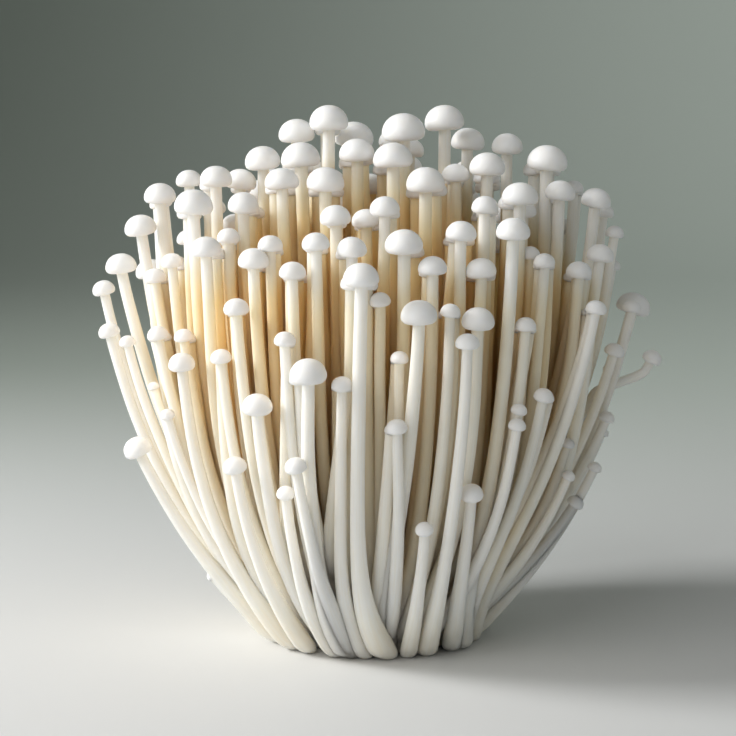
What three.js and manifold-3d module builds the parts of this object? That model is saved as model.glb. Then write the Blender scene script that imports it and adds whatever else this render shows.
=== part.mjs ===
// An enoki mushroom bunch as it is cut from its bed: one fused foot, and slender stems that rise from
// it, lean out, turn up and end in small domed caps. Millimetres, +Z up. The origin is the middle of
// the foot's flat cut face, and the front is -Y.
import * as THREE from 'three';
import { mergeVertices } from 'three/addons/utils/BufferGeometryUtils.js';
import Module from 'manifold-3d';

const wasm = await Module();
wasm.setup();

// The bunch.
const FOOT_REACH = 23.5; // from the axis to the middles of the outermost feet
const CROWN_REACH = 63; // the same to the outermost stems, high up
const TURN_UP = 30; // height at which most of a stem's outward lean is behind it
const FLANK_TURN_UP = 50; // the same for stems far out on a flank, which turn up more slowly
const FLANK_FROM = 40; // caps this far out along x begin to count as the flank's,
const FLANK_TO = 58; // and from here on they do wholly
const TURN_SHARPNESS = 1.1; // over 1, so that a foot stands upright before its stem leans
const DEPTH_SHARE = 0.9; // the bunch's depth over its width
const CROWN_TOP = 119; // height of the middle of the topmost cap
const CROWN_DROP = 0.0105; // the crown falls by this much per square millimetre from the axis
const CLUMP_SHARE = 0.88; // how far out the stems are still fused low down, over how far out they stand
const CLUMP_EDGE = 16; // height at which the fused part is widest
const CLUMP_TOP = 60;
const CLUMP_SIDES = 12;
const INNER_FOOT = 0.77; // where the feet inside the outermost ring stand, as a share of its reach
const OUTERMOST = 0.95; // a cap further out than this share of the reach has its foot in the outermost ring

// One mushroom. Widths along the stem are shares of its own width.
const STEM_LEAST = 2.1; // a stem is this wide, plus a share of its cap's width
const STEM_PER_CAP = 0.18;
const UPPER_WIDTH = 1.04;
const NECK_WIDTH = 0.76;
const FOOT_SWELL = 0.55; // what a stem's low part adds to its width,
const SWELL_RISE = 17; // which is mostly gone at this height
const CAP_DOME = 0.62; // height of a cap over its width
const SMALL_CAP = 5; // a mushroom with a narrower cap than this has one side fewer
const SIDES = 5;
const ROOT_TIP = 3; // height to which a stem inside the clump tapers down
const STEM_RINGS = [12, 30, 60]; // heights at which every stem that reaches them has a ring of corners
const LEAST_NECK = 8; // from the last of those rings to the neck

// Mushrooms that show at the front, on the flanks and on the crown, each as
// [x, y, z, cap]: the middle of the cap and the cap's width. Then may come the foot's x, where the
// foot stands free in the outermost ring, and how far the stem swings along x on its way.
const FRONT = [
  [-3, -52, 90, 7.7, 2.8, -3],
  [19, -50, 76, 5, 11.7, -1],
  [9, -49, 82, 7.7, undefined, -3],
  [-14, -51, 70, 7.9, undefined, -2],
  [-7, -49, 67, 4.6, -2.1, -2.5],
  [-25, -44, 62, 6.6, undefined, -1.5],
  [-16.5, -50, 50, 4.8, -5.5, 0.8],
  [-30, -39, 48, 5.2, -15, 0],
  [-19, -44, 43, 4, -8.8, -1],
  [10.5, -43, 35, 4, 7.4, 0],
  [20.5, -41, 42.5, 5.2, 17.5, -0.5],
  [-53, -16, 48, 6.5, -22, 0],
  [47.5, -31, 81, 4.6, 22.5, -5.5],
  [29, -39, 98.5, 7.3, 19.5, -3],
  [36, -35, 62.5, 4.4, 20.7, -4.5],
  [-36.5, -30, 94, 6.9, undefined, -1.5],
  [-42, -30, 69, 6, -18.3, 0],
  [21.5, -43, 80, 7.2],
  [4.5, -49, 58, 4.6, undefined, 1.2],
  [5, -45, 72, 3.9],
  [1, -43, 84, 4.6],
  [6, -41, 96, 8],
  [2, -34, 103, 6.5],
  [-8.5, -33, 101, 6.8],
  [-2, -28, 100, 6.2],
  [-12.5, -41, 96, 5.9],
  [-5, -42, 95, 6.4],
  [-17.5, -42, 90, 5.7],
  [18, -38, 98, 6.6],
  [12, -42, 91, 6.2],
  [23.5, -30, 103, 6],
  [22.5, -37, 90, 6.7],
  [32, -37, 78, 4.7],
  [15.5, -46, 82, 4.3],
  [30.5, -39, 60, 3.6],
  [30, -41, 57, 3.9],
  [-29.5, -39, 82, 5.5],
  [-19, -46, 76, 4.7],
  [-33, -36, 71, 4.7],
  [-26, -36, 92, 6.8],
  [-22.5, -34, 95, 5.5],
  [-32, -25, 96, 5.2],
];
const LEFT_FLANK = [
  [-42, -24, 74, 4.4],
  [-48, -20, 74, 4.9],
  [-40, -20, 103, 8.8],
  [-49, -3, 104, 7.3],
  [-53, -6, 97, 7.3],
  [-58, -3, 88, 7.1],
  [-62.5, 1, 82, 5.3],
  [-45, -18, 90, 4.9],
  [-49.5, -11, 86, 5],
  [-60.5, -6, 73, 5],
  [-56, -10, 71, 3.8],
  [-45.5, -27, 57, 3.4],
  [-50, -12, 61, 2.7],
  [-37, -10, 17, 3],
];
const RIGHT_FLANK = [
  [36.5, -30, 91, 4.8],
  [45, -19, 88, 5.8],
  [50.5, -11, 91, 6.3],
  [55, 0, 95, 4.4],
  [55, 4, 87, 4.3],
  [59, -2, 78, 4.3],
  [54, -10, 69, 4.6],
  [64, 1, 66, 4.7, 22, -6],
  [54.5, 2, 63, 3.3],
  [53, -6, 53, 3.8],
  [53, 3, 48, 3.4],
  [50, -10, 42, 3.4],
  [43, -18, 49, 3.3],
  [43, -20, 42, 3.2],
  [45.5, -10, 34, 4.1],
  [53, 6, 99.5, 5],
  [34, -22, 92, 4.4],
];
const CROWN = [
  [-10.5, 0, 121, 9.2],
  [6.5, -4, 119, 9.9],
  [16, 1, 121, 9.2],
  [-18, 5, 118, 8.4],
  [-16.5, -11, 113, 9],
  [-5, 11, 117, 9.2],
  [-4, -9, 114, 8.1],
  [4, -14, 113, 8.9],
  [21.5, 8, 116, 8],
  [30.5, 5, 115, 7.4],
  [39, -3, 112, 9.2],
  [25, -12, 111, 8.1],
  [11, -22, 108, 8.7],
  [18, -11, 109, 6.3],
  [-11, -20, 108, 8.4],
  [-20.5, -18, 108, 7.6],
  [-25.5, -1, 112, 8.3],
  [-31, 1, 107, 7.4],
  [-36, -6, 108, 7.4],
  [-43, 5, 107, 6.1],
  [31.5, -24, 105, 7.9],
  [41.5, -9, 105, 6.9],
  [46, 5, 105, 4.7],
  [50, -4, 103, 7.1],
  [-29, -21, 103, 7.1],
];

// The rule for the rest: the far side grows like the near one, turned half round, and the inside is
// filled outwards along a sunflower spiral. A mushroom stands only where it clears the others.
const FAR_SIDE_FROM = -14; // mushrooms further forward than this have a counterpart on the far side
const FAR_SHIFT = 5; // how far a counterpart's cap strays, each way
const FILL_TRIES = 80;
const GOLDEN_ANGLE = Math.PI * (3 - Math.sqrt(5));
const CLEARANCE = 0.3;
const CLEAR_FROM = 34; // below this height stems may lean on each other

let seed = 20417;

/** The next number of a seeded even draw, from 0 to 1. */
function draw() {
  seed = (seed * 16807) % 2147483647;
  return seed / 2147483647;
}

/** The share of its whole lean that a stem has at a height. */
function leanAt(height, turnUp = TURN_UP) {
  return 1 - Math.exp(-((height / turnUp) ** TURN_SHARPNESS));
}

/** How far out the outermost stems stand at a height. */
function reachAt(height) {
  return FOOT_REACH + (CROWN_REACH - FOOT_REACH) * leanAt(height);
}

/** A stem's middle line: upright at the foot, leaning out, then turning up to the cap. */
class StemLine extends THREE.Curve {
  constructor(foot, top, bow) {
    super();
    const flank = THREE.MathUtils.smoothstep(Math.abs(top.x), FLANK_FROM, FLANK_TO);
    const turnUp = THREE.MathUtils.lerp(TURN_UP, FLANK_TURN_UP, flank);
    Object.assign(this, { foot, top, bow, turnUp });
  }

  atHeight(height, target = new THREE.Vector3()) {
    const lean = leanAt(height, this.turnUp) / leanAt(this.top.z, this.turnUp);
    target.lerpVectors(this.foot, this.top, lean);
    target.x += this.bow * 4 * lean * (1 - lean);
    return target.setZ(height);
  }

  getPoint(t, target) {
    return this.atHeight(this.top.z * t, target);
  }
}

/** One mushroom: its stem's line and width, its cap's width, and whether its foot stands free. */
function mushroom(x, y, z, cap, footX, bow = 0) {
  const top = new THREE.Vector3(x, y, z - (CAP_DOME * cap) / 2);
  const out = Math.hypot(x, y / DEPTH_SHARE) / reachAt(z);
  const free = footX !== undefined || out > OUTERMOST;
  const inward = ((free ? 1 : INNER_FOOT) * FOOT_REACH) / (reachAt(z) * Math.max(out, 1));
  const foot = new THREE.Vector3(x * inward, y * inward, 0);
  if (footX !== undefined) {
    foot.set(footX, Math.sign(y) * DEPTH_SHARE * Math.sqrt(FOOT_REACH ** 2 - footX ** 2), 0);
  }
  const line = new StemLine(foot, top, bow);
  return { line, stem: STEM_LEAST + STEM_PER_CAP * cap, cap, free };
}

/** Half of a mushroom's width at a height, its cap included. */
function halfWidthAt({ line, stem, cap }, height) {
  return height > line.top.z - CLEARANCE ? cap / 2 : stem / 2;
}

/** True if two mushrooms keep clear of each other above the tangle at the foot. */
function clear(one, other) {
  const highest = Math.min(one.line.top.z + one.cap / 2, other.line.top.z + other.cap / 2);
  for (let height = CLEAR_FROM; height < highest; height += 2) {
    const a = one.line.atHeight(Math.min(height, one.line.top.z));
    const b = other.line.atHeight(Math.min(height, other.line.top.z));
    const room = halfWidthAt(one, height) + halfWidthAt(other, height) + CLEARANCE;
    if (Math.hypot(a.x - b.x, a.y - b.y) < room) return false;
  }
  return true;
}

/** Every mushroom of the bunch: the listed ones, their far counterparts and the filling. */
function grow() {
  const listed = [...FRONT, ...LEFT_FLANK, ...RIGHT_FLANK, ...CROWN];
  const bunch = listed.map((row) => mushroom(...row));
  const addIfClear = (candidate) => {
    if (bunch.every((other) => clear(candidate, other))) bunch.push(candidate);
  };
  for (const [x, y, z, cap, footX, bow = 0] of listed) {
    const strayX = FAR_SHIFT * (2 * draw() - 1);
    const strayZ = FAR_SHIFT * (2 * draw() - 1);
    if (y > FAR_SIDE_FROM) continue;
    const farFootX = footX === undefined ? undefined : -footX;
    addIfClear(mushroom(strayX - x, -y, z + strayZ, cap, farFootX, -bow));
  }
  for (let i = 0; i < FILL_TRIES; i += 1) {
    const out = CROWN_REACH * Math.sqrt((i + 0.5) / FILL_TRIES);
    const x = out * Math.cos(i * GOLDEN_ANGLE);
    const y = DEPTH_SHARE * out * Math.sin(i * GOLDEN_ANGLE);
    const z = CROWN_TOP - CROWN_DROP * out ** 2 - 6 * draw();
    const cap = 6 + 3 * draw();
    if (y > FAR_SIDE_FROM) addIfClear(mushroom(x, y, z, cap));
  }
  return bunch;
}

/** A solid of a lathe profile of [radius, height] pairs that starts and ends on the axis. */
function turned(profile, sides) {
  const points = profile.map(([radius, height]) => new THREE.Vector2(radius, height));
  return new THREE.LatheGeometry(points, sides).rotateX(Math.PI / 2);
}

/** The manifold solid of a closed geometry. */
function solid(geometry) {
  const bare = geometry.clone();
  bare.deleteAttribute('normal');
  bare.deleteAttribute('uv');
  const merged = mergeVertices(bare, 1e-4);
  const triVerts = new Uint32Array(merged.index.array);
  const vertProperties = new Float32Array(merged.attributes.position.array);
  return new wasm.Manifold(new wasm.Mesh({ numProp: 3, vertProperties, triVerts }));
}

/** A mushroom turned straight up and then bent along its stem's line. */
function mushroomSolid({ line, stem, cap, free }, turn) {
  const neck = line.top.z;
  const half = stem / 2;
  const rim = cap / 2;
  const rings = STEM_RINGS.filter((height) => height < neck - LEAST_NECK);
  const widthAt = (height) => {
    const swell = FOOT_SWELL * Math.exp(-((height / SWELL_RISE) ** 2));
    return THREE.MathUtils.lerp(UPPER_WIDTH, NECK_WIDTH, height / neck) + swell;
  };
  const profile = rings.map((height) => [half * widthAt(height), height]);
  if (free) profile.unshift([0, -1], [half * widthAt(0), -1]);
  else profile.unshift([0, ROOT_TIP]);
  profile.push([half * NECK_WIDTH, neck], [rim, neck + rim * 0.3]);
  profile.push([rim * 0.74, neck + rim * 0.9], [0, neck + cap * CAP_DOME]);
  const geometry = turned(profile, cap < SMALL_CAP ? SIDES - 1 : SIDES).rotateZ(turn);
  const place = geometry.attributes.position;
  const up = new THREE.Vector3(0, 0, 1);
  const point = new THREE.Vector3();
  const aim = new THREE.Quaternion();
  for (let i = 0; i < place.count; i += 1) {
    point.fromBufferAttribute(place, i);
    const height = Math.min(Math.max(point.z, 0), neck);
    point.z -= height;
    aim.setFromUnitVectors(up, line.getTangent(height / neck));
    point.applyQuaternion(aim).add(line.atHeight(height));
    place.setXYZ(i, point.x, point.y, point.z);
  }
  return solid(geometry);
}

/** The fused foot, which widens with the lean of the stems around it and closes between them. */
function footSolid() {
  const profile = [
    [0, -2],
    [FOOT_REACH - 0.5, -2],
    [FOOT_REACH - 0.5, 2],
  ];
  for (const height of [8, CLUMP_EDGE]) profile.push([CLUMP_SHARE * reachAt(height), height]);
  profile.push([CLUMP_SHARE * reachAt(CLUMP_EDGE) - 6, 2 * CLUMP_EDGE], [0, CLUMP_TOP]);
  return solid(turned(profile, CLUMP_SIDES).scale(1, DEPTH_SHARE, 1));
}

/** Everything below the cut through the foot. */
function belowCut() {
  const side = 4 * CROWN_REACH;
  return solid(new THREE.BoxGeometry(side, side, side).translate(0, 0, -side / 2));
}

/** The bunch as one solid: the foot and all the mushrooms, cut flat below. */
function bunchSolid() {
  let whole = footSolid();
  for (const grown of grow()) whole = whole.add(mushroomSolid(grown, 2 * Math.PI * draw()));
  const bodies = whole.subtract(belowCut()).decompose();
  return bodies.reduce((most, body) => (body.volume() > most.volume() ? body : most));
}

/** A three.js geometry of a manifold solid. */
function geometryOf(manifold) {
  const mesh = manifold.getMesh();
  const geometry = new THREE.BufferGeometry();
  geometry.setAttribute('position', new THREE.BufferAttribute(mesh.vertProperties, 3));
  geometry.setIndex(new THREE.BufferAttribute(mesh.triVerts, 1));
  geometry.computeVertexNormals();
  return geometry;
}

const ivory = new THREE.MeshStandardMaterial({ color: 0xf3efe2, roughness: 0.55, metalness: 0 });
const bunch = new THREE.Mesh(geometryOf(bunchSolid()), ivory);
bunch.name = 'enoki_bunch';

const group = new THREE.Group();
group.add(bunch);

export default group;
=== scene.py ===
"""An enoki mushroom bunch on a pale floor: slender stems with domed caps, fanning out from one foot."""

import math

import bpy
import numpy as np
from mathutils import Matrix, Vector


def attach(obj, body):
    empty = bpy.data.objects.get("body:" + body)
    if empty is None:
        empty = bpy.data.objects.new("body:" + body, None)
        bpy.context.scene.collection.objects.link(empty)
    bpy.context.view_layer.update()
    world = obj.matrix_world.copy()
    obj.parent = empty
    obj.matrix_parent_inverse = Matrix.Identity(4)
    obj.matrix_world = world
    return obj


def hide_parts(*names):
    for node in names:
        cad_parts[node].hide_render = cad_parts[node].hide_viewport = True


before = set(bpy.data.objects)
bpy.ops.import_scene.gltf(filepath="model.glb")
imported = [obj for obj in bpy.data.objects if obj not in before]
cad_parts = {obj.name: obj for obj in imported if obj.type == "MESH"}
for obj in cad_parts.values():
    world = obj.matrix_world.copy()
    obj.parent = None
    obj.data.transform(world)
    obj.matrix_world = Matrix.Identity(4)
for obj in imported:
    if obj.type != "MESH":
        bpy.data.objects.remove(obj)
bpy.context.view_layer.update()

MM = 0.001

# Front mushrooms: each is a rounded foot, a slender stem and a domed cap of smooth satin flesh. A row
# is x, y and z of the middle of the cap and the cap's width, in millimetres. Then may come the foot's
# x, where the foot stands in the outermost ring, and how far the stem swings along x on its way.
FRONT = [
    (-3, -52, 90, 7.7, 2.8, -3),
    (19, -50, 76, 5, 11.7, -1),
    (9, -49, 82, 7.7, None, -3),
    (-14, -51, 70, 7.9, None, -2),
    (-7, -49, 67, 4.6, -2.1, -2.5),
    (-25, -44, 62, 6.6, None, -1.5),
    (-16.5, -50, 50, 4.8, -5.5, 0.8),
    (-30, -39, 48, 5.2, -15, 0),
    (-19, -44, 43, 4, -8.8, -1),
    (10.5, -43, 35, 4, 7.4, 0),
    (20.5, -41, 42.5, 5.2, 17.5, -0.5),
    (-53, -16, 48, 6.5, -22, 0),
    (47.5, -31, 81, 4.6, 22.5, -5.5),
    (29, -39, 98.5, 7.3, 19.5, -3),
    (36, -35, 62.5, 4.4, 20.7, -4.5),
    (-36.5, -30, 94, 6.9, None, -1.5),
    (-42, -30, 69, 6, -18.3, 0),
    (21.5, -43, 80, 7.2),
    (4.5, -49, 58, 4.6, None, 1.2),
    (5, -45, 72, 3.9),
    (1, -43, 84, 4.6),
    (6, -41, 96, 8),
    (2, -34, 103, 6.5),
    (-8.5, -33, 101, 6.8),
    (-2, -28, 100, 6.2),
    (-12.5, -41, 96, 5.9),
    (-5, -42, 95, 6.4),
    (-17.5, -42, 90, 5.7),
    (18, -38, 98, 6.6),
    (12, -42, 91, 6.2),
    (23.5, -30, 103, 6),
    (22.5, -37, 90, 6.7),
    (32, -37, 78, 4.7),
    (15.5, -46, 82, 4.3),
    (30.5, -39, 60, 3.6),
    (30, -41, 57, 3.9),
    (-29.5, -39, 82, 5.5),
    (-19, -46, 76, 4.7),
    (-33, -36, 71, 4.7),
    (-26, -36, 92, 6.8),
    (-22.5, -34, 95, 5.5),
    (-32, -25, 96, 5.2),
]

# How every stem runs: it leans out low down and then turns up, so that the bunch fans out over its
# foot. Stems far out on a flank turn up more slowly. A hooked stem steps inwards under its cap.
FOOT_REACH = 23.5 * MM
CROWN_REACH = 63 * MM
TURN_UP = 30 * MM
FLANK_TURN_UP = 50 * MM
FLANK_FROM = 40 * MM
FLANK_TO = 58 * MM
TURN_SHARPNESS = 1.1
DEPTH_SHARE = 0.9
INNER_FOOT = 0.77
OUTERMOST = 0.95
STEM_LEAST = 2.1 * MM
STEM_PER_CAP = 0.18
CAP_DOME = 0.62
HOOK_TO = 2 * MM
HOOK_FROM = 7.5 * MM


def smooth(value, low, high):
    """0 below the low value and 1 above the high one, with a soft step between."""
    share = np.clip((value - low) / (high - low), 0, 1)
    return share * share * (3 - 2 * share)


def lean_at(height, turn_up=TURN_UP):
    """The share of its whole lean that a stem has at a height."""
    return 1 - np.exp(-((np.maximum(height, 0) / turn_up) ** TURN_SHARPNESS))


def reach_at(height):
    """How far out the outermost stems stand at a height."""
    return FOOT_REACH + (CROWN_REACH - FOOT_REACH) * lean_at(height)


class Mushroom:
    """One mushroom: where its foot and its neck are, how its stem runs, and its widths."""

    def __init__(self, x, y, z, cap, foot_x=None, bow=0.0, hook=0.0):
        self.cap = cap * MM
        self.stem = STEM_LEAST + STEM_PER_CAP * self.cap
        self.neck = np.array([x * MM, y * MM, z * MM - CAP_DOME * self.cap / 2])
        self.bow = bow * MM
        self.hook = hook * MM
        flank = smooth(abs(self.neck[0]), FLANK_FROM, FLANK_TO)
        self.turn_up = TURN_UP + (FLANK_TURN_UP - TURN_UP) * flank
        reach = reach_at(z * MM)
        out = math.hypot(self.neck[0], self.neck[1] / DEPTH_SHARE) / reach
        outer = foot_x is not None or out > OUTERMOST
        inward = (1 if outer else INNER_FOOT) * FOOT_REACH / (reach * max(out, 1))
        self.foot = np.array([self.neck[0] * inward, self.neck[1] * inward, 0.0])
        if foot_x is not None:
            across = foot_x * MM
            deep = DEPTH_SHARE * math.sqrt(FOOT_REACH**2 - across**2)
            self.foot[:2] = across, math.copysign(deep, y)

    def line(self, height):
        """Points of the stem's middle line at these heights."""
        height = np.asarray(height, float)
        lean = lean_at(height, self.turn_up) / lean_at(self.neck[2], self.turn_up)
        points = self.foot + lean[:, None] * (self.neck - self.foot)
        points[:, 0] += self.bow * 4 * lean * (1 - lean)
        points[:, 0] -= self.hook * smooth(self.neck[2] - height, HOOK_TO, HOOK_FROM)
        points[:, 2] = height
        return points


# How the mushrooms share the bed: the room that each one takes up is compared at heights above the
# crowded foot, where stems and caps stand free.
CLEARANCE = 0.3 * MM
CLEAR_FROM = 34 * MM
CLEAR_STEP = 2 * MM
TALLEST = 130 * MM
CLEAR_HEIGHTS = np.arange(CLEAR_FROM, TALLEST, CLEAR_STEP)


class Bed:
    """The mushrooms that already stand, with the room that each takes up at each height."""

    def __init__(self):
        self.standing = []
        self.across = []
        self.room = []
        self.seed = 20417

    def draw(self):
        """The next number of a seeded even draw, from 0 to 1."""
        self.seed = (self.seed * 16807) % 2147483647
        return self.seed / 2147483647

    def between(self, low, high):
        """The next number of the draw, between two values."""
        return low + (high - low) * self.draw()

    def add(self, one, overlap=None):
        """Stands a mushroom in the bed: with an overlap, only where it meets no other by more."""
        neck = one.neck[2]
        across = one.line(np.minimum(CLEAR_HEIGHTS, neck))[:, :2]
        room = np.where(CLEAR_HEIGHTS > neck - CLEARANCE, one.cap / 2, one.stem / 2)
        room = np.where(CLEAR_HEIGHTS < neck + one.cap / 2, room, -np.inf)
        if overlap is not None:
            gap = np.linalg.norm(np.array(self.across) - across, axis=2)
            if (gap < np.array(self.room) + room + CLEARANCE - overlap).any():
                return
        self.standing.append(one)
        self.across.append(across)
        self.room.append(room)

    def stand(self, rows):
        """Stands listed mushrooms, which may touch, and gives them back."""
        for row in rows:
            self.add(Mushroom(*row))
        return self.standing[-len(rows):]


bed = Bed()

# The shape of a stem, as rings of points from its rounded foot to its neck. It swells low down, has a
# faint ripple, and wanders a little on its way, as stems do that grow side by side.
SIDES = 20
STEM_RINGS = 26
RINGS_LOW_DOWN = 1.4
HOOK_RINGS = 10
FOOT_TURNS = np.radians([0, 22, 45, 68])
FOOT_ROUND = 0.8
FOOT_FLAT = 0.38
UPPER_WIDTH = 1.04
NECK_WIDTH = 0.76
SWELL_PER_CAP = 0.1 / MM
SWELL_SPREAD = (0.85, 1.15)
SWELL_RISE = 17 * MM
RIPPLE = 0.02
RIPPLE_LENGTH = 9 * MM
RIPPLE_FROM = 8 * MM
RIPPLE_FULL = 20 * MM
WANDER = (0.1 * MM, 0.45 * MM)
WANDER_LENGTH = (14 * MM, 28 * MM)
WANDER_FROM = 8 * MM
WANDER_FULL = 40 * MM
WANDER_BELOW_NECK = 18 * MM
UPRIGHT_BELOW = 6 * MM
UP = Vector((0, 0, 1))
FULL_TURN = 2 * math.pi


def stem_widths(one, heights, swell):
    """Half widths of a stem: swollen low down and slender under the cap."""
    along = heights / one.neck[2]
    taper = UPPER_WIDTH + (NECK_WIDTH - UPPER_WIDTH) * along
    return one.stem / 2 * (taper + swell * np.exp(-((heights / SWELL_RISE) ** 2)))


def ring_heights(one, foot_width):
    """Heights of a stem's rings: round its foot, then closer together low down than high up."""
    foot_top = FOOT_ROUND * foot_width
    rise = (one.neck[2] - foot_top) * np.linspace(0, 1, STEM_RINGS) ** RINGS_LOW_DOWN
    heights = np.concatenate([foot_top * (1 - np.cos(FOOT_TURNS)), foot_top + rise])
    if one.hook:
        hooked = one.neck[2] - np.linspace(HOOK_TO, HOOK_FROM, HOOK_RINGS)
        heights = np.sort(np.concatenate([heights, hooked]))
    return heights


def grow_stem(one, rng):
    """Heights, middles, directions and half widths of a stem's rings."""
    swell = SWELL_PER_CAP * one.cap * rng.uniform(*SWELL_SPREAD)
    heights = ring_heights(one, stem_widths(one, np.array([0.0]), swell)[0])
    widths = stem_widths(one, heights, swell)
    widths[:len(FOOT_TURNS)] *= FOOT_FLAT + (1 - FOOT_FLAT) * np.sin(FOOT_TURNS)
    ripple = RIPPLE * np.sin(heights / RIPPLE_LENGTH + rng.uniform(0, FULL_TURN))
    widths *= 1 + ripple * smooth(heights, RIPPLE_FROM, RIPPLE_FULL)

    middles = one.line(heights)
    wander = rng.uniform(*WANDER) * smooth(heights, WANDER_FROM, WANDER_FULL)
    wander *= smooth(one.neck[2] - heights, 0, WANDER_BELOW_NECK)
    length = rng.uniform(*WANDER_LENGTH)
    for axis in (0, 1):
        middles[:, axis] += wander * np.sin(heights / length + rng.uniform(0, FULL_TURN))
    ways = np.gradient(middles, heights, axis=0)
    ways /= np.linalg.norm(ways, axis=1)[:, None]
    leaning = smooth(heights, 0, UPRIGHT_BELOW)[:, None]
    ways = ways * leaning + np.array(UP) * (1 - leaning)
    return heights, middles, ways, widths


# The shape of a cap: a nearly flat underside, a rolled rim and a dome. Its sizes are shares of its half
# width, and the underside's rows are shares of the way from the neck to the rim, with their heights.
UNDERSIDE = [(0.3, 0.1), (0.62, 0.05)]
RIM_HEIGHT = 0.33
RIM_TURN = 0.32
RIM_TURNS = np.radians([-90, -58, -28, 2])
DOME_TURNS = np.radians([14, 27, 40, 52, 63, 73, 82])
DOME_FULLNESS = 0.94
CAP_TILT = 0.06
STEM_OVAL = (0.92, 1.06)
CAP_OVAL = (0, 0.03)
CAP_BLEND_RINGS = 3


def cap_profile(one):
    """Half widths and heights over the neck of a cap's rings, and the height of its top."""
    half = one.cap / 2
    neck = one.stem / 2 * NECK_WIDTH
    under = half * (1 - RIM_TURN)
    rows = [(neck + (under - neck) * share, half * rise) for share, rise in UNDERSIDE]
    for turn in RIM_TURNS:
        width = max(under + half * RIM_TURN * math.cos(turn), neck)
        rows.append((width, half * RIM_HEIGHT * (1 + math.sin(turn))))
    dome = 2 * CAP_DOME - RIM_HEIGHT
    for turn in DOME_TURNS:
        width = half * math.cos(turn) ** DOME_FULLNESS
        rows.append((width, half * (RIM_HEIGHT + dome * math.sin(turn))))
    return rows, half * 2 * CAP_DOME


def ring(middle, way, width, circle):
    """A ring of points round a middle, square to a direction, from a circle of half width 1."""
    turn = np.array(UP.rotation_difference(Vector(way)).to_matrix())
    return middle + (width * circle) @ turn.T


def stacked_faces(rings, sides):
    """Faces of a closed body whose points are a lowest one, rings one over another and a top one."""
    last = 1 + (rings - 1) * sides
    faces = []
    for side in range(sides):
        beside = (side + 1) % sides
        faces.append((0, 1 + beside, 1 + side))
        for lower in range(1, last, sides):
            upper = lower + sides
            faces.append((lower + side, lower + beside, upper + beside, upper + side))
        faces.append((last + side, last + beside, last + sides))
    return faces


def mushroom_mesh(one, rng):
    """Points and faces of a mushroom, and how far each point is in the cap, up and round."""
    heights, middles, ways, widths = grow_stem(one, rng)
    tilt = ways[-1] + [rng.normal(0, CAP_TILT), rng.normal(0, CAP_TILT), 0]
    tilt /= np.linalg.norm(tilt)
    profile, top = cap_profile(one)

    around = np.linspace(0, FULL_TURN, SIDES, endpoint=False) + rng.uniform(0, FULL_TURN)
    circle = np.stack([np.cos(around), np.sin(around), 0 * around], axis=1)
    stem_circle = circle * [1, rng.uniform(*STEM_OVAL), 1]
    oval = rng.uniform(*CAP_OVAL) * np.cos(2 * around + rng.uniform(0, FULL_TURN))
    cap_circle = circle * (1 + oval[:, None])
    rings = [ring(*row, stem_circle) for row in zip(middles, ways, widths)]
    rings += [ring(one.neck + tilt * rise, tilt, width, cap_circle) for width, rise in profile]
    points = np.concatenate([middles[:1], *rings, [one.neck + tilt * top]])

    over_neck = np.arange(len(rings)) - len(heights) + 1
    cap_shares = np.clip(over_neck / CAP_BLEND_RINGS, 0, 1)
    levels = np.concatenate([heights, [one.neck[2] + rise for _, rise in profile]])
    in_cap = np.concatenate([[0], np.repeat(cap_shares, SIDES), [1]])
    up = np.concatenate([[0], np.repeat(levels, SIDES), [one.neck[2] + top]])
    round_stem = np.concatenate([[0], np.tile(around, len(rings)), [0]])
    return points, stacked_faces(len(rings), SIDES), in_cap, up, round_stem


# Mushroom flesh: smooth, satin and slightly see-through. Caps are a cool white and stems an ivory with
# fine long fibres. Deep in the bunch the stems are painted peach and then orange: painted warm shade
# that stands in for light bouncing among them. Near the floor they take a cream that is partly the
# foot's own slight tan and partly painted shade.
def linear(red, green, blue):
    """A colour as a screen shows it, from 0 to 255, as the light values of a shader."""
    return [((value / 255 + 0.055) / 1.055) ** 2.4 for value in (red, green, blue)] + [1.0]


CAP_WHITE = linear(251, 251, 249)
STEM_IVORY = linear(254, 250, 240)
# The next two are painted warm shade for stems deep in the bunch.
PAINTED_SHADE_PEACH = linear(255, 243, 222)
PAINTED_SHADE_ORANGE = linear(255, 217, 164)
# The foot's own slight tan, with painted shade where the feet meet the floor.
FOOT_TAN_AND_SHADE = linear(240, 233, 219)
FIBRE_SHADE = linear(250, 243, 230)
PAINTED_SHADE_PEACH_DEPTHS = (0.06, 0.4)
PAINTED_SHADE_ORANGE_DEPTHS = (0.22, 0.8)
FOOT_TAN_AND_SHADE_MOST = 0.8
FIBRE_STEP = (0.35, 0.75)
FIBRE_MOST = 0.4
PORES_PER_METRE = 900
RELIEF_DEPTH = 0.2 * MM


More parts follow.
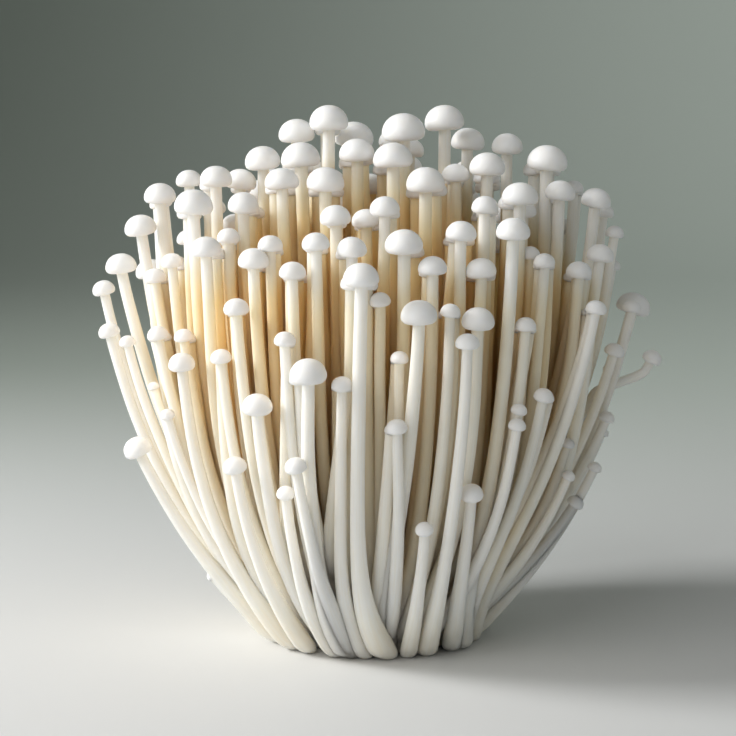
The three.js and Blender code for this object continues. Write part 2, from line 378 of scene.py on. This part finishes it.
def mushroom_flesh():
    """The flesh's material, which reads how deep, how low and how far in the cap a point is."""
    material = bpy.data.materials.new("mushroom_flesh")
    material.use_nodes = True
    nodes, links = material.node_tree.nodes, material.node_tree.links
    shader = nodes["Principled BSDF"]
    shader.inputs["Roughness"].default_value = 0.48
    shader.inputs["Specular IOR Level"].default_value = 0.35
    shader.inputs["Subsurface Weight"].default_value = 0.8
    shader.inputs["Subsurface Radius"].default_value = (1.0, 0.92, 0.82)
    shader.inputs["Subsurface Scale"].default_value = 0.005

    def attribute(name):
        node = nodes.new("ShaderNodeAttribute")
        node.attribute_name = name
        return node

    def blend(share, first, second, kind="MIX"):
        node = nodes.new("ShaderNodeMix")
        node.data_type = "RGBA"
        node.blend_type = kind
        for value, name in ((share, "Factor"), (first, "A"), (second, "B")):
            if isinstance(value, bpy.types.NodeSocket):
                links.new(value, node.inputs[name])
            else:
                node.inputs[name].default_value = value
        return node.outputs["Result"]

    def step(value, low, high, most=1.0):
        node = nodes.new("ShaderNodeMapRange")
        node.interpolation_type = "SMOOTHSTEP"
        links.new(value, node.inputs["Value"])
        for name, number in (("From Min", low), ("From Max", high), ("To Min", 0), ("To Max", most)):
            node.inputs[name].default_value = number
        return node.outputs["Result"]

    def noise(vector, scale, detail):
        node = nodes.new("ShaderNodeTexNoise")
        node.inputs["Scale"].default_value = scale
        node.inputs["Detail"].default_value = detail
        links.new(vector, node.inputs["Vector"])
        return node.outputs["Fac"]

    # Painted warm shade: deeper in the bunch the stems are painted peach and then orange, in place of
    # light bounced among them.
    deep = attribute("deep").outputs["Fac"]
    colour = blend(step(deep, *PAINTED_SHADE_PEACH_DEPTHS), STEM_IVORY, PAINTED_SHADE_PEACH)
    colour = blend(step(deep, *PAINTED_SHADE_ORANGE_DEPTHS), colour, PAINTED_SHADE_ORANGE)
    # Painted shade near the floor, over the foot's own slight tan.
    colour = blend(step(attribute("low").outputs["Fac"], 0, 1, FOOT_TAN_AND_SHADE_MOST), colour, FOOT_TAN_AND_SHADE)
    fibre = noise(attribute("grain").outputs["Vector"], 1.0, 3.0)
    colour = blend(step(fibre, *FIBRE_STEP, FIBRE_MOST), colour, FIBRE_SHADE, "MULTIPLY")
    colour = blend(attribute("cap").outputs["Fac"], colour, CAP_WHITE)
    links.new(colour, shader.inputs["Base Color"])

    pores = noise(nodes.new("ShaderNodeTexCoord").outputs["Object"], PORES_PER_METRE, 2.0)
    relief = nodes.new("ShaderNodeMath")
    relief.operation = "ADD"
    links.new(fibre, relief.inputs[0])
    links.new(pores, relief.inputs[1])
    bump = nodes.new("ShaderNodeBump")
    bump.inputs["Strength"].default_value = 0.12
    bump.inputs["Distance"].default_value = RELIEF_DEPTH
    links.new(relief.outputs[0], bump.inputs["Height"])
    links.new(bump.outputs["Normal"], shader.inputs["Normal"])
    return material


# The crown's dome is lower further out: its height in millimetres over a point is CROWN_TOP less
# CROWN_DROP times the square of how far out the point is. Depth in the bunch is measured from it,
# and sets how much painted warm shade a point gets.
flesh = mushroom_flesh()
CROWN_TOP = 119
CROWN_DROP = 0.0105
DEEPEST = 26 * MM
# Heights over which the foot's tan and painted shade fade out.
FOOT_TAN_AND_SHADE_FROM = 2 * MM
FOOT_TAN_AND_SHADE_TO = 20 * MM
GRAIN_ROUND = 4
GRAIN_LENGTH = 11 * MM
GRAIN_APART = 50


def painted_shade_depth(points):
    """How deep in the bunch points stand, from 0 at its outside to 1 in its middle: how much painted
    warm shade they get.
    """
    out = np.hypot(points[:, 0], points[:, 1] / DEPTH_SHARE)
    below_crown = (CROWN_TOP - CROWN_DROP * (out / MM) ** 2) * MM - points[:, 2]
    return np.clip(np.minimum(reach_at(points[:, 2]) - out, below_crown) / DEEPEST, 0, 1)


def finish_piece(name, points, faces, values, grain):
    """A piece of the bunch from its mesh and the values that the flesh's material reads."""
    mesh = bpy.data.meshes.new(name)
    mesh.from_pydata(points.tolist(), [], faces)
    for attribute, numbers in {"deep": painted_shade_depth(points), **values}.items():
        shares = mesh.attributes.new(attribute, "FLOAT", "POINT")
        shares.data.foreach_set("value", numbers.astype(np.float32))
    vectors = mesh.attributes.new("grain", "FLOAT_VECTOR", "POINT")
    vectors.data.foreach_set("vector", grain.astype(np.float32).ravel())
    mesh.polygons.foreach_set("use_smooth", [True] * len(mesh.polygons))
    mesh.materials.append(flesh)
    mesh.update()
    piece = bpy.data.objects.new(name, mesh)
    bpy.context.scene.collection.objects.link(piece)
    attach(piece, "root")
    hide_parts("enoki_bunch")


def grow_piece(name, mushrooms, seed):
    """One piece of the bunch from its mushrooms, each with a grain drawn out along its stem."""
    rng = np.random.default_rng(seed)
    points, faces, caps, lows, grains = [], [], [], [], []
    start = 0
    for one in mushrooms:
        own, own_faces, in_cap, up, round_stem = mushroom_mesh(one, rng)
        points.append(own)
        faces += [tuple(start + corner for corner in face) for face in own_faces]
        caps.append(smooth(in_cap, 0, 1))
        lows.append(1 - smooth(up, FOOT_TAN_AND_SHADE_FROM, FOOT_TAN_AND_SHADE_TO))
        across = GRAIN_ROUND * np.cos(round_stem) + rng.uniform(0, GRAIN_APART)
        grains.append(np.stack([across, GRAIN_ROUND * np.sin(round_stem), up / GRAIN_LENGTH], axis=1))
        start += len(own)
    values = {"cap": np.concatenate(caps), "low": np.concatenate(lows)}
    finish_piece(name, np.concatenate(points), faces, values, np.concatenate(grains))


grow_piece("front_mushrooms", bed.stand(FRONT), 1)

# Left flank: slim mushrooms that lean well out to the left, of the same flesh, grown from the same
# foot. Two of them are short and end bluntly, with caps hardly wider than their stems.
LEFT_FLANK = [
    (-42, -24, 74, 4.4),
    (-48, -20, 74, 4.9),
    (-40, -20, 103, 8.8),
    (-49, -3, 104, 7.3),
    (-53, -6, 97, 7.3),
    (-58, -3, 88, 7.1),
    (-62.5, 1, 82, 5.3),
    (-45, -18, 90, 4.9),
    (-49.5, -11, 86, 5),
    (-60.5, -6, 73, 5),
    (-56, -10, 71, 3.8),
    (-45.5, -27, 57, 3.4),
    (-50, -12, 61, 2.7),
    (-37, -10, 17, 3),
]
grow_piece("left_flank_mushrooms", bed.stand(LEFT_FLANK), 2)

# Right flank: small late mushrooms that lean out to the right in a loose row, one above another. One
# has grown out sideways and turns up again under its cap.
RIGHT_FLANK = [
    (36.5, -30, 91, 4.8),
    (45, -19, 88, 5.8),
    (50.5, -11, 91, 6.3),
    (55, 0, 95, 4.4),
    (55, 4, 87, 4.3),
    (59, -2, 78, 4.3),
    (54, -10, 69, 4.6),
    (64, 1, 66, 4.7, 22, -6, 8.5),
    (54.5, 2, 63, 3.3),
    (53, -6, 53, 3.8),
    (53, 3, 48, 3.4),
    (50, -10, 42, 3.4),
    (43, -18, 49, 3.3),
    (43, -20, 42, 3.2),
    (45.5, -10, 34, 4.1),
    (53, 6, 99.5, 5),
    (34, -22, 92, 4.4),
]
grow_piece("right_flank_mushrooms", bed.stand(RIGHT_FLANK), 3)

# Crown: the tallest mushrooms with the widest caps, which grew straight up out of the middle and
# stand close under one domed outline.
CROWN = [
    (-10.5, 0, 121, 9.2),
    (6.5, -4, 119, 9.9),
    (16, 1, 121, 9.2),
    (-18, 5, 118, 8.4),
    (-16.5, -11, 113, 9),
    (-5, 11, 117, 9.2),
    (-4, -9, 114, 8.1),
    (4, -14, 113, 8.9),
    (21.5, 8, 116, 8),
    (30.5, 5, 115, 7.4),
    (39, -3, 112, 9.2),
    (25, -12, 111, 8.1),
    (11, -22, 108, 8.7),
    (18, -11, 109, 6.3),
    (-11, -20, 108, 8.4),
    (-20.5, -18, 108, 7.6),
    (-25.5, -1, 112, 8.3),
    (-31, 1, 107, 7.4),
    (-36, -6, 108, 7.4),
    (-43, 5, 107, 6.1),
    (31.5, -24, 105, 7.9),
    (41.5, -9, 105, 6.9),
    (46, 5, 105, 4.7),
    (50, -4, 103, 7.1),
    (-29, -21, 103, 7.1),
]
grow_piece("crown_mushrooms", bed.stand(CROWN), 4)

# Far side: it grows like the near side, turned half round, with each cap a little out of place. A
# mushroom stands only where it clears the others, which is how a crowded bed thins itself.
FAR_SIDE_FROM = -14
FAR_SHIFT = 5
near_side = FRONT + LEFT_FLANK + RIGHT_FLANK + CROWN
grown = len(bed.standing)
for x, y, z, cap, *foot_and_bow in near_side:
    stray_x = bed.between(-FAR_SHIFT, FAR_SHIFT)
    stray_z = bed.between(-FAR_SHIFT, FAR_SHIFT)
    if y <= FAR_SIDE_FROM:
        turned = [value if value is None else -value for value in foot_and_bow]
        bed.add(Mushroom(stray_x - x, -y, z + stray_z, cap, *turned), 0)
grow_piece("far_side_mushrooms", bed.standing[grown:], 5)

# Inner mushrooms: they fill the bunch from the middle outwards along a sunflower spiral, with their
# caps just under the crown's dome. Later, smaller ones come up between them on the far side. Each set
# has its drops below the dome and its cap widths in millimetres, and where it grows.
GOLDEN_ANGLE = math.pi * (3 - math.sqrt(5))
FILL = {"tries": 80, "start": 0.5, "drops": (0, 6), "caps": (6, 9), "from_y": FAR_SIDE_FROM}
LATE = {"tries": 300, "start": 0.3, "drops": (4, 16), "caps": (4.5, 7.5), "from_y": 8}
LATE_MOST_OUT = 54
LATE_OVERLAP = 0.9 * MM


def fill(tries, start, drops, caps, from_y, most_out=CROWN_REACH / MM, overlap=0):
    """Stands mushrooms along a sunflower spiral under the crown's dome."""
    for i in range(tries):
        out = CROWN_REACH / MM * math.sqrt((i + start) / tries)
        angle = i * GOLDEN_ANGLE
        x, y = out * math.cos(angle), DEPTH_SHARE * out * math.sin(angle)
        z = CROWN_TOP - CROWN_DROP * out**2 - bed.between(*drops)
        cap = bed.between(*caps)
        if y > from_y and out < most_out:
            bed.add(Mushroom(x, y, z, cap), overlap)


grown = len(bed.standing)
fill(**FILL)
fill(**LATE, most_out=LATE_MOST_OUT, overlap=LATE_OVERLAP)
grow_piece("inner_mushrooms", bed.standing[grown:], 6)

# Tuft mushrooms: smaller ones that come up in rows close behind a larger one, as enoki grows in tufts.
# Pressed together, they have stouter stems, which close the gaps between the front stems. Each row
# stands a little lower, so that the caps stay hidden behind the larger one.
TUFT_ROWS = 8
TUFT_SPACING = (2.5, 4)
TUFT_STRAY = 0.28
TUFT_BOW = 6
TUFT_CAP = 0.72
TUFT_CAP_LOSS = 0.03
TUFT_DROP = 0.15
TUFT_SLOPE = math.tan(math.radians(8))
TUFT_STOUT = 1.3
TUFT_LOWEST = 50
TUFT_MOST_OUT = 50
TUFT_BACKMOST = 12
TUFT_OVERLAP = 2.2 * MM
PIECE_MOST = 100
grown = len(bed.standing)
for row in range(1, TUFT_ROWS + 1):
    for x, y, z, cap, *_ in near_side:
        behind = row * bed.between(*TUFT_SPACING)
        stray = TUFT_STRAY * cap * bed.between(-1, 1)
        bow = bed.between(-TUFT_BOW, TUFT_BOW)
        z = z - TUFT_SLOPE * behind - TUFT_DROP * cap
        if y + behind < TUFT_BACKMOST and z > TUFT_LOWEST and abs(x) < TUFT_MOST_OUT:
            late_cap = cap * (TUFT_CAP - TUFT_CAP_LOSS * row)
            late = Mushroom(x + stray, y + behind, z, late_cap, None, bow)
            late.stem *= TUFT_STOUT
            bed.add(late, TUFT_OVERLAP)
for number, first in enumerate(range(grown, len(bed.standing), PIECE_MOST), 1):
    grow_piece(f"tuft_mushrooms_{number}", bed.standing[first:first + PIECE_MOST], first)

# Low mushrooms on the far side: small late ones of the same flesh, at many heights. They grow among
# the outermost stems and lean out with them.
LOW_TRIES = 160
LOW_HEIGHTS = (34, 84)
LOW_OUT = (0.84, 0.96)
LOW_CAPS = (3, 4.6)
LOW_FROM = 16
LOW_OVERLAP = 0.4 * MM
grown = len(bed.standing)
for turn in range(LOW_TRIES):
    angle = turn * GOLDEN_ANGLE
    z = bed.between(*LOW_HEIGHTS)
    out = bed.between(*LOW_OUT) * reach_at(z * MM) / MM
    x, y = out * math.cos(angle), DEPTH_SHARE * out * math.sin(angle)
    cap = bed.between(*LOW_CAPS)
    if y > LOW_FROM:
        bed.add(Mushroom(x, y, z, cap), LOW_OVERLAP)
grow_piece("low_far_mushrooms", bed.standing[grown:], 8)

# Fused foot: the feet grow into one another in the middle, and the bunch is cut flat there. It shows
# between the outermost feet and from below. A row is shares of its reach and of its height, and a lobe
# is how many go round, their depth and their turn.
FUSED_REACH = 21 * MM
FUSED_HEIGHT = 9 * MM
FUSED_SIDES = 72
FUSED_GRAIN = 3 * MM
FUSED_ROWS = [
    (0.55, 0.0),
    (0.93, 0.0),
    (1.0, 0.1),
    (1.02, 0.45),
    (0.95, 0.8),
    (0.6, 1.0),
]
FUSED_TOP = 1.04
FUSED_LOBES = [(15, 0.03, 0), (22, 0.02, 1)]


def grow_foot():
    """The fused foot, as rings of points from its flat underside to its low round top."""
    around = np.linspace(0, FULL_TURN, FUSED_SIDES, endpoint=False)
    lobes = sum(depth * np.cos(count * around + turn) for count, depth, turn in FUSED_LOBES)
    rings = []
    for reach, rise in FUSED_ROWS:
        width = FUSED_REACH * reach * (1 + lobes * reach)
        level = np.full(FUSED_SIDES, FUSED_HEIGHT * rise)
        across, deep = width * np.cos(around), DEPTH_SHARE * width * np.sin(around)
        rings.append(np.stack([across, deep, level], axis=1))
    points = np.concatenate([[[0, 0, 0]], *rings, [[0, 0, FUSED_HEIGHT * FUSED_TOP]]])
    # The whole fused foot takes the foot's tan and painted shade, and its middle the painted warm shade
    # of the bunch's depth.
    values = {"cap": np.zeros(len(points)), "low": np.ones(len(points))}
    faces = stacked_faces(len(rings), FUSED_SIDES)
    finish_piece("fused_foot", points, faces, values, points / FUSED_GRAIN)


grow_foot()

# The floor that the bunch stands on: matt pale paint on one smooth sheet, which sweeps up at its edge
# into a round wall. Behind the bunch it has painted light falloff: painted shade, darkest on the left,
# that turns to a painted brighter tone on the right.
FLOOR_REACH = 1.7
SWEEP_START = 0.9
WALL_TOP = 2.0
FLAT_RINGS = 6
SWEEP_RINGS = 12
FLOOR_SIDES = 96
NEAR_GREY = linear(222, 224, 225)
# The far greys are painted light falloff: painted shade on the left and a painted brighter tone on the
# right.
FAR_LEFT_PAINTED_SHADE = linear(122, 131, 123)
FAR_RIGHT_PAINTED_LIGHT = linear(230, 241, 234)
FADE_ACROSS = (-0.5, 0.5)
FADE_BACK = (-0.03, 0.5)


def floor_paint_and_painted_falloff():
    """Pale paint, with painted shade and light that fade from left to right far back, and from front to
    back.
    """
    material = bpy.data.materials.new("floor_paint_and_painted_falloff")
    material.use_nodes = True
    nodes, links = material.node_tree.nodes, material.node_tree.links
    shader = nodes["Principled BSDF"]
    shader.inputs["Roughness"].default_value = 0.8
    split = nodes.new("ShaderNodeSeparateXYZ")
    links.new(nodes.new("ShaderNodeTexCoord").outputs["Object"], split.inputs["Vector"])

    def fade(axis, low, high, first, second):
        share = nodes.new("ShaderNodeMapRange")
        share.interpolation_type = "SMOOTHSTEP"
        share.inputs["From Min"].default_value = low
        share.inputs["From Max"].default_value = high
        links.new(split.outputs[axis], share.inputs["Value"])
        mix = nodes.new("ShaderNodeMix")
        mix.data_type = "RGBA"
        links.new(share.outputs["Result"], mix.inputs["Factor"])
        mix.inputs["A"].default_value = first
        if isinstance(second, bpy.types.NodeSocket):
            links.new(second, mix.inputs["B"])
        else:
            mix.inputs["B"].default_value = second
        return mix.outputs["Result"]

    far = fade("X", *FADE_ACROSS, FAR_LEFT_PAINTED_SHADE, FAR_RIGHT_PAINTED_LIGHT)
    links.new(fade("Y", *FADE_BACK, NEAR_GREY, far), shader.inputs["Base Color"])
    return material


def round_floor():
    """The floor and its wall, as rings of points from the middle outwards and up."""
    bend = FLOOR_REACH - SWEEP_START
    rows = [(SWEEP_START * k / FLAT_RINGS, 0.0) for k in range(1, FLAT_RINGS + 1)]
    for k in range(1, SWEEP_RINGS + 1):
        turn = math.pi / 2 * k / SWEEP_RINGS
        rows.append((SWEEP_START + bend * math.sin(turn), bend * (1 - math.cos(turn))))
    rows.append((FLOOR_REACH, WALL_TOP))
    around = np.linspace(0, FULL_TURN, FLOOR_SIDES, endpoint=False)
    points = [(out * math.cos(a), out * math.sin(a), z) for out, z in rows for a in around]
    faces = [tuple(range(FLOOR_SIDES))]
    for inner in range(0, (len(rows) - 1) * FLOOR_SIDES, FLOOR_SIDES):
        outer = inner + FLOOR_SIDES
        for side in range(FLOOR_SIDES):
            beside = (side + 1) % FLOOR_SIDES
            faces.append((inner + beside, inner + side, outer + side, outer + beside))
    mesh = bpy.data.meshes.new("floor")
    mesh.from_pydata(points, [], faces)
    mesh.polygons.foreach_set("use_smooth", [True] * len(mesh.polygons))
    mesh.materials.append(floor_paint_and_painted_falloff())
    floor = bpy.data.objects.new("floor", mesh)
    bpy.context.scene.collection.objects.link(floor)


round_floor()

# Soft studio light: a key box well up on the left, a larger and weaker one on the left in front, and
# a dim even sky all round that fills the shadows.
LIT_POINT = Vector((0, 0, 0.07))
KEY_COLOUR = (1.0, 0.985, 0.965)
FRONT_COLOUR = (1.0, 0.98, 0.955)
SKY_COLOUR = (0.94, 0.93, 0.9, 1)
SKY_STRENGTH = 0.21


def softbox(name, place, size, power, colour):
    """A square light that faces the middle of the bunch."""
    light = bpy.data.lights.new(name, "AREA")
    light.shape = "SQUARE"
    light.size = size
    light.energy = power
    light.color = colour
    lamp = bpy.data.objects.new(name, light)
    lamp.location = place
    lamp.rotation_euler = (LIT_POINT - Vector(place)).to_track_quat("-Z", "Y").to_euler()
    bpy.context.scene.collection.objects.link(lamp)


softbox("key", (-0.78, -0.02, 0.46), 0.28, 7.2, KEY_COLOUR)
softbox("front", (-0.58, -0.62, 0.6), 0.9, 4.4, FRONT_COLOUR)
sky = bpy.data.worlds.new("studio")
sky.use_nodes = True
sky.node_tree.nodes["Background"].inputs["Color"].default_value = SKY_COLOUR
sky.node_tree.nodes["Background"].inputs["Strength"].default_value = SKY_STRENGTH
bpy.context.scene.world = sky
bpy.context.scene.view_settings.view_transform = "Standard"

# The camera stands in front, a little higher than the bunch's middle, and looks slightly down on it.
# FRAME_WIDTH is how much of the bunch's own plane it takes in.
CAMERA_RISE = math.radians(8)
CAMERA_DISTANCE = 0.48
AIM = Vector((-0.0016, 0, 0.0633))
FRAME_WIDTH = 0.1708
camera_data = bpy.data.cameras.new("camera")
camera_data.sensor_width = 36
camera_data.lens = camera_data.sensor_width * CAMERA_DISTANCE / FRAME_WIDTH
camera = bpy.data.objects.new("camera", camera_data)
away = Vector((0, -math.cos(CAMERA_RISE), math.sin(CAMERA_RISE)))
camera.location = AIM + CAMERA_DISTANCE * away
camera.rotation_euler = (-away).to_track_quat("-Z", "Y").to_euler()
bpy.context.scene.collection.objects.link(camera)
bpy.context.scene.camera = camera
